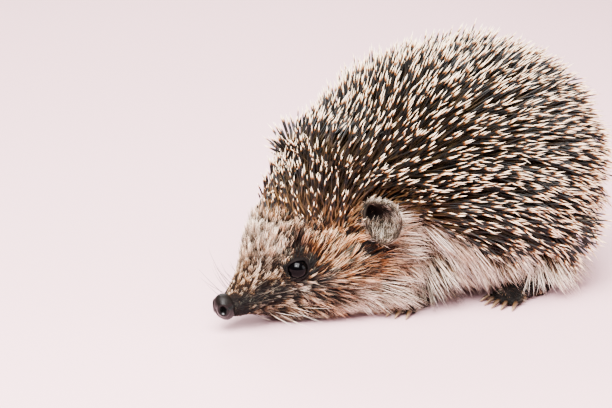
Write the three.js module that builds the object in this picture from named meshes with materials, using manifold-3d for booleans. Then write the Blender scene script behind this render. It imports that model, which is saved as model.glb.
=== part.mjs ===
// A hedgehog on all fours with its head lowered to the ground, at life size.
// Millimetres, +Z up, head towards -X, its left side towards -Y, feet on Z = 0.
// The spined back, furred belly, head and legs are rounded forms out to the tips
// of the coat, parted from each other by thin gaps.
import * as THREE from 'three';
import { mergeVertices } from 'three/addons/utils/BufferGeometryUtils.js';
import Module from 'manifold-3d';

// ---- Driving dimensions ----
const gap = 0.3; // between neighbouring pieces
const trunk = { front: 21.5, back: 155 }; // from the spines over the brow to the rump
const headLength = 80; // nose tip to the end of the neck, inside the shoulders
const headPitch = THREE.MathUtils.degToRad(16); // how far the nose points down
const noseHeight = 8.5; // nose tip above the ground
const eye = { radius: 3.1, behindNose: 25, height: 6.4, apart: 23.6 };
const ear = { behindNose: 52.2, height: 15.2, apart: 53.6, width: 13, tall: 16, thick: 1.3 };
const mouthHeight = -4.4; // below the nose tip, in the head's own frame
const mouthCorner = 21.5; // behind the nose tip
const nosePad = { length: 7.6, width: 8.2, tall: 8.6 };
const foreLimb = { x: 71, y: 18, length: 15, width: 10.5, tall: 7.5, toe: 7, claw: 4.5, shank: 11 };
const hindLimb = { x: 111, y: 32, length: 25, width: 11, tall: 8, toe: 7.5, claw: 5, shank: 13 };
const stride = 4; // the left feet stand this far ahead of the middle, the right ones behind it
const toes = 5; // on each foot
const furLine = { height: 27, fall: 0.09 }; // where spines give way to fur, and its drop to the rear
const nodeEnds = { crown: 46, shoulders: 88, back: 132, head: 58 }; // behind the nose tip

// ---- Materials ----
const skins = {
  spines: new THREE.MeshStandardMaterial({ color: 0x4a3c30, roughness: 0.75, metalness: 0 }),
  fur: new THREE.MeshStandardMaterial({ color: 0xb79a7c, roughness: 0.9, metalness: 0 }),
  face: new THREE.MeshStandardMaterial({ color: 0x8a7058, roughness: 0.9, metalness: 0 }),
  bare: new THREE.MeshStandardMaterial({ color: 0x3a2f2a, roughness: 0.7, metalness: 0 }),
  nose: new THREE.MeshStandardMaterial({ color: 0x14110f, roughness: 0.25, metalness: 0 }),
  eye: new THREE.MeshStandardMaterial({ color: 0x07080a, roughness: 0.05, metalness: 0 }),
};

const wasm = await Module();
wasm.setup();

// ---- Shaping ----

// A smooth run through values spaced evenly from s = 0 to s = 1.
function profile(...values) {
  const places = values.map((_, i) => i / (values.length - 1));
  const curve = new THREE.CubicInterpolant(places, values, 1);
  return (s) => curve.evaluate(s)[0];
}

// |t| to a power, with the sign of t.
const bent = (t, power) => Math.sign(t) * Math.abs(t) ** power;

// How far a form has closed in at u, from -1 at its front to 1 at its back. A bluntness of 2 is an
// ellipse, and more is blunter.
const endTaper = (u, bluntness) => (1 - Math.abs(u) ** bluntness) ** (1 / bluntness);

// A closed form along local X. Each section is half a superellipse above `level` and half below it.
// `frontEnd` and `backEnd` say how blunt the ends are, `frontPlan` how blunt the front is seen from
// above, and `hollow` lifts the middle of the underside.
function rounded(form, around, along, grow = 0) {
  const { from, to, width, rise, drop, level } = form;
  const { square = 2, underSquare = square, hollow = 0 } = form;
  const { frontEnd = 2, backEnd = 2, frontPlan = frontEnd } = form;
  const geometry = new THREE.SphereGeometry(1, around, along);
  geometry.deleteAttribute('normal');
  geometry.deleteAttribute('uv');
  const merged = mergeVertices(geometry, 1e-5);
  const at = merged.getAttribute('position');
  for (let i = 0; i < at.count; i++) {
    const u = THREE.MathUtils.clamp(at.getY(i), -1, 1);
    const s = (u + 1) / 2;
    const taper = endTaper(u, u < 0 ? frontEnd : backEnd);
    const planTaper = endTaper(u, u < 0 ? frontPlan : backEnd);
    const radius = Math.hypot(at.getZ(i), at.getX(i));
    const power = 2 / (at.getX(i) > 0 ? square : underSquare);
    const across = radius > 1e-6 ? bent(at.getZ(i) / radius, power) : 0;
    const upward = radius > 1e-6 ? bent(at.getX(i) / radius, power) : 0;
    const reach = upward > 0 ? rise(s) : drop(s);
    const lift = upward < 0 ? hollow * taper * -upward * (1 - across * across) : 0;
    at.setXYZ(
      i,
      THREE.MathUtils.lerp(from - grow, to + grow, s),
      across * (width(s) * planTaper + grow),
      level(s) + upward * (reach * taper + grow) + lift,
    );
  }
  return merged;
}

// A geometry as a solid, moved by an optional matrix.
function solid(geometry, matrix = new THREE.Matrix4()) {
  const plain = geometry.clone().applyMatrix4(matrix);
  plain.deleteAttribute('normal');
  plain.deleteAttribute('uv');
  const merged = mergeVertices(plain, 1e-4);
  const triVerts = new Uint32Array(merged.index.array);
  const vertProperties = new Float32Array(merged.getAttribute('position').array);
  return new wasm.Manifold(new wasm.Mesh({ numProp: 3, vertProperties, triVerts }));
}

// The biggest piece of a cut solid, without the slivers that a cut can leave.
const biggest = (cut) => cut.decompose().sort((a, b) => b.volume() - a.volume())[0];

// Everything on the side of a plane that its normal points to.
function beyond(whole, normal, distance) {
  const n = normal.clone().normalize();
  return whole.trimByPlane([n.x, n.y, n.z], distance);
}

// Both sides of a plane, half a gap back from it: first the side that the normal points to.
function parted(whole, normal, distance) {
  const far = beyond(whole, normal, distance + gap / 2);
  const near = beyond(whole, normal.clone().negate(), -distance + gap / 2);
  return [far, near];
}

// An ellipsoid about a centre, with its sizes along X, Y and Z.
function ellipsoid(x, y, z, sizeX, sizeY, sizeZ, detail = [12, 8]) {
  return new THREE.SphereGeometry(0.5, ...detail).scale(sizeX, sizeY, sizeZ).translate(x, y, z);
}

function placement(x, y, z, turnX = 0, turnY = 0, turnZ = 0) {
  const frame = new THREE.Object3D();
  frame.position.set(x, y, z);
  frame.rotation.set(turnX, turnY, turnZ, 'ZYX');
  frame.updateMatrix();
  return frame.matrix;
}

const hedgehog = new THREE.Group();

function addNode(name, made, material) {
  const cut = biggest(made).getMesh();
  const geometry = new THREE.BufferGeometry();
  geometry.setAttribute('position', new THREE.BufferAttribute(new Float32Array(cut.vertProperties), 3));
  geometry.setIndex(new THREE.BufferAttribute(new Uint32Array(cut.triVerts), 1));
  geometry.computeVertexNormals();
  const node = new THREE.Mesh(geometry, material);
  node.name = name;
  hedgehog.add(node);
}

// ---- Feet ----
const up = new THREE.Vector3(0, 0, 1);

// A foot with its toes and claws ahead of it, flat on the ground, or the room round it.
function footSolid(limb, side, grow = 0) {
  const place = placement(limb.x + side * stride, side * limb.y, 0, 0, 0, side * -0.18);
  const palm = ellipsoid(
    0, 0, limb.tall * 0.42,
    limb.length + 2 * grow, limb.width + 2 * grow, limb.tall + 2 * grow, [10, 7],
  );
  let foot = solid(palm, place);
  for (let i = 0; i < toes; i++) {
    const spread = (2 * i) / (toes - 1) - 1;
    const x = 0.8 - limb.length / 2 + 2.2 * spread ** 2;
    const splay = new THREE.Matrix4().makeRotationZ(-spread * 0.35);
    splay.setPosition(x, spread * limb.width * 0.4, 0).premultiply(place);
    const claw = new THREE.ConeGeometry(0.7 + grow, limb.claw, 4).rotateZ(Math.PI / 2 + 0.22);
    claw.translate(1.2 - (limb.toe + limb.claw) / 2, 0, 1.35);
    const toeWidth = limb.width / toes + 0.7;
    const toe = ellipsoid(0, 0, 1.5, limb.toe + 2 * grow, toeWidth + 2 * grow, 3.4 + 2 * grow, [6, 4]);
    foot = foot.add(solid(toe, splay)).add(solid(claw, splay));
  }
  return beyond(foot, up, 0);
}

const limbs = [];
for (const [limb, where] of [[foreLimb, 'fore'], [hindLimb, 'hind']]) {
  for (const [side, name] of [[-1, 'left'], [1, 'right']]) {
    addNode(`${where}foot_${name}`, footSolid(limb, side), skins.bare);
    limbs.push({ limb, side, leg: `${where}leg_${name}`, room: footSolid(limb, side, gap) });
  }
}
// The fur of the belly and throat hangs round the feet and gives way to them.
const feetRoom = limbs.map((limb) => limb.room).reduce((whole, room) => whole.add(room));

// ---- Trunk: the spined back over the furred belly, out to the spine tips ----
const trunkForm = {
  from: trunk.front,
  to: trunk.back,
  width: profile(34, 31, 30, 37, 46, 51, 53.5, 54.5, 52),
  level: profile(57, 49, 41, 35, 32, 31, 30, 30, 30),
  rise: profile(14, 26, 40, 51.5, 58, 62, 65, 67, 62),
  drop: profile(14, 16, 23, 31.5, 33, 33, 32.5, 32, 30),
  square: 2.2,
  underSquare: 4,
  frontPlan: 2,
  frontEnd: 4,
  backEnd: 2.4,
  hollow: 8,
};
const trunkDetail = [30, 22];
const trunkSolid = solid(rounded(trunkForm, ...trunkDetail));
const trunkRoom = solid(rounded(trunkForm, ...trunkDetail, gap));

// The head's own frame starts at the nose tip and is pitched down. The ears stand in it behind the
// cheeks and open outwards and forwards.
const headFrame = placement(0, 0, noseHeight, 0, -headPitch, 0);
function earFrame(side) {
  const y = side * ear.apart / 2;
  const place = placement(ear.behindNose, y, ear.height, side * 0.15, -0.35, side * -0.42);
  return place.premultiply(headFrame);
}
function earShell(side, grow = 0) {
  const shell = ellipsoid(0, 0, 0, ear.width + 2 * grow, 9 + 2 * grow, ear.tall + 2 * grow, [12, 10]);
  return solid(shell, earFrame(side));
}

const toRear = new THREE.Vector3(1, 0, 0);
const furNormal = new THREE.Vector3(furLine.fall, 0, 1).normalize();
const furDistance = furNormal.dot(new THREE.Vector3(trunk.front + 60, 0, furLine.height));
const trunkByEars = trunkSolid.subtract(earShell(-1, gap)).subtract(earShell(1, gap));
const [spined, belly] = parted(trunkByEars, furNormal, furDistance);
const [behindCrown, crown] = parted(spined, toRear, nodeEnds.crown);
const [behindShoulders, shoulders] = parted(behindCrown, toRear, nodeEnds.shoulders);
const [rump, back] = parted(behindShoulders, toRear, nodeEnds.back);
addNode('crown', crown, skins.spines);
addNode('shoulders', shoulders, skins.spines);
addNode('back', back, skins.spines);
addNode('rump', rump, skins.spines);
addNode('belly', belly.subtract(feetRoom), skins.fur);

// ---- Head: a cone from the nose back to the neck ----
const headForm = {
  from: 0.6,
  to: headLength,
  width: profile(4, 6.6, 10.4, 15.2, 20, 24.2, 27, 28, 28),
  level: () => 0,
  rise: profile(4.2, 11.5, 23.5, 31.5, 37, 39, 39, 39, 39),
  drop: profile(5, 8.7, 11.5, 14.5, 18, 21, 23, 24, 24),
  square: 1.9,
  underSquare: 3.6,
  frontEnd: 2.4,
  backEnd: 3,
};
const headDetail = [22, 18];
const headSolid = solid(rounded(headForm, ...headDetail), headFrame);
const headRoom = solid(rounded(headForm, ...headDetail, gap), headFrame);
const outerHead = headSolid.subtract(trunkRoom).subtract(feetRoom);

// The nose pad, with a nostril on each side and a groove down its middle.
const padShape = (grow) => ellipsoid(
  nosePad.length / 2 - 2.6, 0, 0.2,
  nosePad.length + 2 * grow, nosePad.width + 2 * grow, nosePad.tall + 2 * grow, [14, 10],
);
let pad = solid(padShape(0), headFrame);
for (const side of [-1, 1]) {
  const nostril = ellipsoid(-1.2, side * 3.1, 0.4, 2.8, 2.4, 3.0, [8, 6]);
  pad = pad.subtract(solid(nostril, headFrame));
}
const groove = new THREE.CylinderGeometry(0.45, 0.45, 6, 6).rotateZ(0.25).translate(-2.5, 0, -3.2);
addNode('nose', pad.subtract(solid(groove, headFrame)), skins.nose);

// The eyes, and the head without the room that they and the nose pad take.
let face = outerHead.subtract(solid(padShape(gap), headFrame));
for (const [side, name] of [[-1, 'left'], [1, 'right']]) {
  const ball = (grow) => ellipsoid(
    eye.behindNose, side * eye.apart / 2, eye.height,
    ...[2, 2, 2].map((n) => n * (eye.radius + grow)), [12, 8],
  );
  addNode(`eye_${name}`, solid(ball(0), headFrame), skins.eye);
  face = face.subtract(solid(ball(gap), headFrame));
}

// The ears are short cups.
for (const [side, name] of [[-1, 'left'], [1, 'right']]) {
  const cup = ellipsoid(
    0, side * 3.4, 0.2,
    ear.width - 2 * ear.thick, 11, ear.tall - 2 * ear.thick, [12, 10],
  );
  const pinna = earShell(side).subtract(solid(cup, earFrame(side)));
  addNode(`ear_${name}`, pinna.subtract(headRoom), skins.face);
}

// The head parted into muzzle, lower jaw, cheeks and neck.
const alongHead = new THREE.Vector3(1, 0, 0).transformDirection(headFrame);
const acrossMouth = new THREE.Vector3(0, 0, 1).transformDirection(headFrame);
const headPoint = (x, z) => new THREE.Vector3(x, 0, z).applyMatrix4(headFrame);
const [behindMuzzle, front] = parted(face, alongHead, alongHead.dot(headPoint(mouthCorner, 0)));
const [muzzle, jaw] = parted(front, acrossMouth, acrossMouth.dot(headPoint(0, mouthHeight)));
const [neck, head] = parted(behindMuzzle, alongHead, alongHead.dot(headPoint(nodeEnds.head, 0)));
addNode('muzzle', muzzle, skins.face);
addNode('lower_jaw', jaw, skins.fur);
addNode('head', head, skins.face);
addNode('neck', neck, skins.fur);

// ---- Legs: a shank from each ankle up and back into the body ----
function shankSolid(limb, side) {
  const ankle = new THREE.Vector3(limb.x + side * stride, side * limb.y, limb.tall / 2);
  ankle.x += limb.length * 0.2;
  const rise = new THREE.Vector3(4.5, side, 26);
  const shank = new THREE.CapsuleGeometry(limb.shank / 2, rise.length(), 2, 10).rotateX(Math.PI / 2);
  const middle = ankle.addScaledVector(rise, 0.5);
  return solid(shank, placement(middle.x, middle.y, middle.z, 0, Math.atan2(rise.x, rise.z), 0));
}

for (const { limb, side, leg } of limbs) {
  const shank = shankSolid(limb, side).subtract(trunkRoom).subtract(headRoom).subtract(feetRoom);
  addNode(leg, beyond(shank, up, gap), skins.bare);
}

// ---- Tail: a short bare cone under the rump ----
const tailThickness = profile(4.4, 4, 3, 1.6);
const tailForm = {
  from: 0,
  to: 24,
  width: tailThickness,
  level: () => 0,
  rise: tailThickness,
  drop: tailThickness,
};
const tailPlace = placement(trunk.back - 14, 0, 22, 0, 0.45, 0);
addNode('tail', solid(rounded(tailForm, 12, 8), tailPlace).subtract(trunkRoom), skins.bare);

// The origin is on the ground, under the middle of the whole animal.
const extent = new THREE.Box3().setFromObject(hedgehog);
const centre = extent.getCenter(new THREE.Vector3());
hedgehog.position.set(-centre.x, -centre.y, -extent.min.z);

export default hedgehog;
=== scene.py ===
import math

import bmesh
import bpy
import numpy as np
from mathutils import Matrix, Vector, kdtree


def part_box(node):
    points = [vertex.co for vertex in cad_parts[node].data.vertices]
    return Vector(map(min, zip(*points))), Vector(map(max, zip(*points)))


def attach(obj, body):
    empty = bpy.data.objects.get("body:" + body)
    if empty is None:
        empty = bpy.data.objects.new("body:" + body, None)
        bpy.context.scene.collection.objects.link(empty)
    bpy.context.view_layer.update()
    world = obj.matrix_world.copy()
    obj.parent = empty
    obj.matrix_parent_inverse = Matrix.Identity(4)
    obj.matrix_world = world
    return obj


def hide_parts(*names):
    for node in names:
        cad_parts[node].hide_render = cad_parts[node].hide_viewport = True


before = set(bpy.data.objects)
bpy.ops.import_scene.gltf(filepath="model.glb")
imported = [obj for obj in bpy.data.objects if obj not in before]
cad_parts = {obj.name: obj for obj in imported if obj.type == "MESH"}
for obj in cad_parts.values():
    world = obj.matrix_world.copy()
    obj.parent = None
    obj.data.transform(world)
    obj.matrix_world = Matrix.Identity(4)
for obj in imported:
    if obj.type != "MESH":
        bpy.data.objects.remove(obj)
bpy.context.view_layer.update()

# ---- Skin ----
# One skin over the whole animal, from the muzzle to the tail and down to the toes, with no seam.
# Shapes are in millimetres, head towards -X, and lie inside the coat by the coat's depth: about
# 13 mm under the spines, 5 mm on the flanks and 1 to 3 mm on the face.
mm = 0.001
head_pitch = math.radians(16)  # how far the nose points down
brow_coat, rump_coat = 11, 9  # how deep the coat is in front of the skin and behind it
voxel = 0.8  # the grid on which the forms are fused
nose_box = [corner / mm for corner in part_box("nose")]
nose_tip = (nose_box[0] + nose_box[1]) / 2 - Vector((1.1, 0, 0.5))
head_frame = Matrix.Translation(nose_tip) @ Matrix.Rotation(-head_pitch, 4, "Y")
trunk_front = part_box("crown")[0].x / mm + brow_coat
trunk_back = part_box("rump")[1].x / mm - rump_coat


def through(s, values):
    """The value at s, from 0 to 1, of a smooth run through evenly spaced values."""
    place = min(max(s, 0), 1) * (len(values) - 1)
    i = min(int(place), len(values) - 2)
    before, here, after, last = (values[min(max(i + k, 0), len(values) - 1)] for k in (-1, 0, 1, 2))
    t = place - i
    bend = (2 * before - 5 * here + 4 * after - last) * t + (3 * (here - after) + last - before) * t * t
    return here + 0.5 * t * (after - before + bend)


def rounded(bm, matrix, start, end, width, level, rise, drop, square=2.0, under=2.0, front=2.4, back=2.4):
    """A rounded form along local X whose half width, middle height and reach up and down change along it."""
    made = bmesh.ops.create_uvsphere(bm, u_segments=56, v_segments=48, radius=1)["verts"]
    for v in made:
        u = min(max(v.co.z, -1), 1)
        s = (u + 1) / 2
        blunt = front if u < 0 else back
        taper = (1 - abs(u) ** blunt) ** (1 / blunt)
        radius = max(math.hypot(v.co.x, v.co.y), 1e-6)
        power = 2 / (square if v.co.x > 0 else under)
        across = math.copysign(abs(v.co.y / radius) ** power, v.co.y)
        upward = math.copysign(abs(v.co.x / radius) ** power, v.co.x)
        reach = through(s, rise if upward > 0 else drop)
        v.co = (
            start + (end - start) * s,
            across * through(s, width) * taper,
            through(s, level) + upward * reach * taper,
        )
    bmesh.ops.transform(bm, matrix=matrix, verts=made)


def mesh_of(bm, name):
    """A mesh of what a bmesh holds, which is then let go."""
    mesh = bpy.data.meshes.new(name)
    bm.to_mesh(mesh)
    bm.free()
    return mesh


def blob(bm, matrix, size):
    """An ellipsoid of that size along X, Y and Z, in a place given by a matrix."""
    place = matrix @ Matrix.Diagonal((*size, 1))
    bmesh.ops.create_uvsphere(bm, u_segments=24, v_segments=16, radius=0.5, matrix=place)


body = bmesh.new()
# The trunk from the brow to the rump, then the head from the nose back into the shoulders.
rounded(
    body, Matrix.Identity(4), trunk_front, trunk_back,
    width=(24, 22, 25, 31, 36.5, 39.5, 40.5, 41, 39.5), level=(55, 48, 41, 36, 33, 32, 31, 31, 31),
    rise=(8, 15, 28, 37, 42, 45.5, 48, 49.5, 47), drop=(8, 10, 15, 19, 20, 20, 20, 20, 18),
    square=2.2, under=2.6, front=2.4, back=2.4,
)
rounded(
    body, head_frame, 0.6, 78,
    width=(3.9, 5.8, 9.2, 13.4, 17.2, 20.5, 23, 24, 24), level=(0,) * 9,
    rise=(4.1, 9.6, 20.4, 27.8, 32.5, 34, 34, 34, 34), drop=(4.3, 7.8, 10.8, 13.2, 15.8, 18.4, 20, 20, 20),
    square=1.9, under=2.4, front=6, back=3,
)
for side in (-1, 1):
    # Whisker pads on the upper lip, cheek muscles behind the mouth and the brow over the eye.
    blob(body, head_frame @ Matrix.Translation((11.5, side * 3.4, -1)), (18, 6.6, 8))
    cheek = Matrix.Translation((38, side * 12.5, -0.5)) @ Matrix.Rotation(side * math.radians(18), 4, "Z")
    blob(body, head_frame @ cheek, (34, 12.5, 20))
    blob(body, head_frame @ Matrix.Translation((28, side * 8.8, 9.6)), (14, 6, 6))

# Each limb is a palm with five toes, and a stack of balls for the shank that leads up into the body.
limbs = {
    "fore": {"y": 18, "palm": (15, 10.5, 7.5), "toe": (7, 2.8, 3.4), "shank": 10.5},
    "hind": {"y": 32, "palm": (25, 11, 8), "toe": (7.5, 2.9, 3.4), "shank": 12.5},
}
toe_roots = []  # where each claw starts, and the way that it points
for limb, sizes in limbs.items():
    for side, name in ((-1, "left"), (1, "right")):
        length, width, tall = sizes["palm"]
        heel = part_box(f"{limb}foot_{name}")[1].x / mm
        place = Matrix.Translation((heel - length / 2, side * sizes["y"], 0))
        place = place @ Matrix.Rotation(side * -0.18, 4, "Z")
        blob(body, place @ Matrix.Translation((0, 0, tall * 0.46)), (length, width, tall * 0.9))
        for i in range(5):
            spread = i / 2 - 1
            toe = Matrix.Translation((0.8 - length / 2 + 2.2 * spread**2, spread * width * 0.4, 1.75))
            toe = place @ toe @ Matrix.Rotation(-spread * 0.35, 4, "Z")
            blob(body, toe, sizes["toe"])
            tip = toe @ Vector((-sizes["toe"][0] * 0.44, 0, 0.35))
            toe_roots.append((tip, (toe.to_3x3() @ Vector((-1, 0, -0.18))).normalized()))
        ankle = place @ Vector((length * 0.2, 0, tall * 0.5))
        for step in range(5):
            blob(
                body, Matrix.Translation(ankle + step * Vector((1.1, side * 0.3, 5.5))),
                [sizes["shank"] * (1 + 0.08 * step)] * 3,
            )
tail_length, tail_thickness = 25, (4, 3.4, 2.6, 1.4)
rounded(
    body, Matrix.Translation((trunk_back - 6, 0, 20)) @ Matrix.Rotation(0.45, 4, "Y"), 0, tail_length,
    width=tail_thickness, level=(0,) * 4, rise=tail_thickness, drop=tail_thickness,
)
skin = bpy.data.objects.new("skin", mesh_of(body, "skin"))
bpy.context.scene.collection.objects.link(skin)
fused = skin.modifiers.new("fused", "REMESH")
fused.mode, fused.voxel_size = "VOXEL", voxel
eased = skin.modifiers.new("eased", "SMOOTH")
eased.factor, eased.iterations = 0.5, 5
skin.data = bpy.data.meshes.new_from_object(skin.evaluated_get(bpy.context.evaluated_depsgraph_get()))
skin.modifiers.clear()


# ---- Face ----
# The skin sinks to a socket round each eye, so that the ball stands out of it, and dips in front of
# the eye. It folds in along the line of the mouth, and the lower jaw is narrower than the lips.
def in_head(points):
    """Points in the head's own frame: back from the nose tip, towards the right side, and up."""
    turn = np.array(head_frame.to_3x3())
    return (points - np.array(nose_tip)) @ turn


def step_up(x, low, high):
    """A smooth rise from 0 at low to 1 at high."""
    t = np.clip((x - low) / (high - low), 0, 1)
    return t * t * (3 - 2 * t)


eye_radius = 3.5
eyes = {side: in_head(np.array(sum(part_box(f"eye_{side}"), Vector()) / 2 / mm)) for side in ("left", "right")}
mouth_height, mouth_corner = -4.4, 21.5  # in the head's own frame


def mesh_points(mesh):
    """The places of a mesh's vertices."""
    flat = np.empty(len(mesh.vertices) * 3, np.float32)
    mesh.vertices.foreach_get("co", flat)
    return flat.reshape(-1, 3).astype(float)


socket_rim = 0.9  # how far in front of the eyeball's centre the skin lies round it
face = in_head(mesh_points(skin.data))
for centre in eyes.values():
    gaze = np.array((-0.36, np.sign(centre[1]) * 0.89, 0.28))
    off = face - centre
    out = off @ gaze
    away = np.linalg.norm(off - out[:, None] * gaze, axis=1)
    socket = (1 - step_up(away, 3.5, 7)) * (out > -3)
    face += (socket * (socket_rim - out))[:, None] * gaze
    dip = np.linalg.norm(face - (centre + np.array((-8.5, -1.5 * np.sign(centre[1]), 0))), axis=1)
    face -= 0.7 * np.exp(-((dip / 4) ** 2))[:, None] * gaze
lips = step_up(face[:, 0], 3, 6) * (1 - step_up(face[:, 0], mouth_corner - 9, mouth_corner + 1))
line = mouth_height + 0.06 * face[:, 0]
slit = np.exp(-(((face[:, 2] - line) / 0.7) ** 2)) * lips
face[:, 1] *= 1 - 0.14 * slit
jaw = step_up(line - face[:, 2], 0, 2) * lips
face[:, 1] *= 1 - 0.16 * jaw
face[:, 2] += 0.8 * jaw
points = (face @ np.array(head_frame.to_3x3()).T) + np.array(nose_tip)
points[:, 2] = np.maximum(points[:, 2], 0)  # the soles stand flat
skin.data.vertices.foreach_set("co", points.astype(np.float32).ravel())
skin.data.update()

# ---- Ears ----
# Thin rounded cups of skin and gristle with a rolled rim, which face outwards and forwards. Each one
# sinks to a deep hollow near its front, and its back is bedded in the head.
ear_centres = [np.array((52.2, side * 27.2, 15.2)) for side in (-1, 1)]
ear_half_width, ear_half_height, ear_depth, ear_wall = 6.4, 7.4, 5.4, 0.8
ear_turn, ear_lean, ear_nod = math.radians(38), math.radians(10), math.radians(12)
ear_rings, ear_steps = 14, 48


def give_wall(bm, thickness):
    """Makes an open sheet a closed shell, with its faces in one fixed order, so that each run is alike."""
    bmesh.ops.recalc_face_normals(bm, faces=bm.faces)
    bmesh.ops.solidify(bm, geom=bm.faces[:] + bm.edges[:] + bm.verts[:], thickness=thickness)
    bmesh.ops.recalc_face_normals(bm, faces=bm.faces)
    bm.faces.sort(key=lambda f: f.calc_center_median().dot((1, 31, 977)))


ears = bmesh.new()
for centre in ear_centres:
    side = math.copysign(1, centre[1])
    cup = bmesh.new()
    rings = []
    for i in range(1, ear_rings + 1):
        r = i / ear_rings
        ring = []
        for k in range(ear_steps):
            a = 2 * math.pi * k / ear_steps
            across = ear_half_width * math.cos(a) * (1 + 0.18 * math.sin(a)) - 0.8 * math.sin(a)
            across = across * r - 2.4 * (1 - r)
            up = ear_half_height * math.sin(a) * (1 - 0.06 * math.cos(a)) * r + 1 * (1 - r)
            hollow = 1.8 * math.exp(-((r / 0.45) ** 2))
            depth = ear_depth * (1 - r**2.6) + hollow - 0.7 * step_up(r, 0.78, 1)
            fold = 0.7 * math.sin(a * 2 + 1) * r**2 + 0.3 * math.sin(a * 5) * r**3
            sunk = 3.4 * float(step_up(-across, 1, ear_half_width))
            ring.append(cup.verts.new((across, side * (2.2 - depth + fold - sunk), up)))
        rings.append(ring)
    middle = cup.verts.new((-2.4, side * (2.2 - 7.6), 1))
    for k in range(ear_steps):
        after = (k + 1) % ear_steps
        cup.faces.new((middle, rings[0][k], rings[0][after]))
        for inner, outer in zip(rings, rings[1:]):
            cup.faces.new((inner[k], outer[k], outer[after], inner[after]))
    give_wall(cup, ear_wall)
    place = Matrix.Translation(Vector(centre)) @ Matrix.Rotation(side * ear_turn, 4, "Z")
    place = place @ Matrix.Rotation(side * ear_lean, 4, "X")
    place = place @ Matrix.Rotation(ear_nod, 4, "Y")
    bmesh.ops.transform(cup, matrix=head_frame @ place, verts=cup.verts)
    shell = mesh_of(cup, "ear")
    ears.from_mesh(shell)
    bpy.data.meshes.remove(shell)
ears.from_mesh(skin.data)
bmesh.ops.triangulate(ears, faces=ears.faces)
ears.to_mesh(skin.data)
ears.free()
skin.data.update()


def by_ear(points):
    """How near a point is to an ear, 1 or less being on it."""
    face = in_head(points)
    return np.minimum(*(np.linalg.norm((face - c) / (8.5, 7, 9.3), axis=1) for c in ear_centres))


def ear_hollow(points):
    """1 in the hollow of an ear, which lies high at its front and takes painted shade, and 0 away from it."""
    face = in_head(points)
    off = [face - c - (-0.3, -np.sign(c[1]) * 5, 2) for c in ear_centres]
    return 1 - step_up(np.minimum(*(np.linalg.norm(o / (5, 4, 4), axis=1) for o in off)), 0.6, 1.4)


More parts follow.
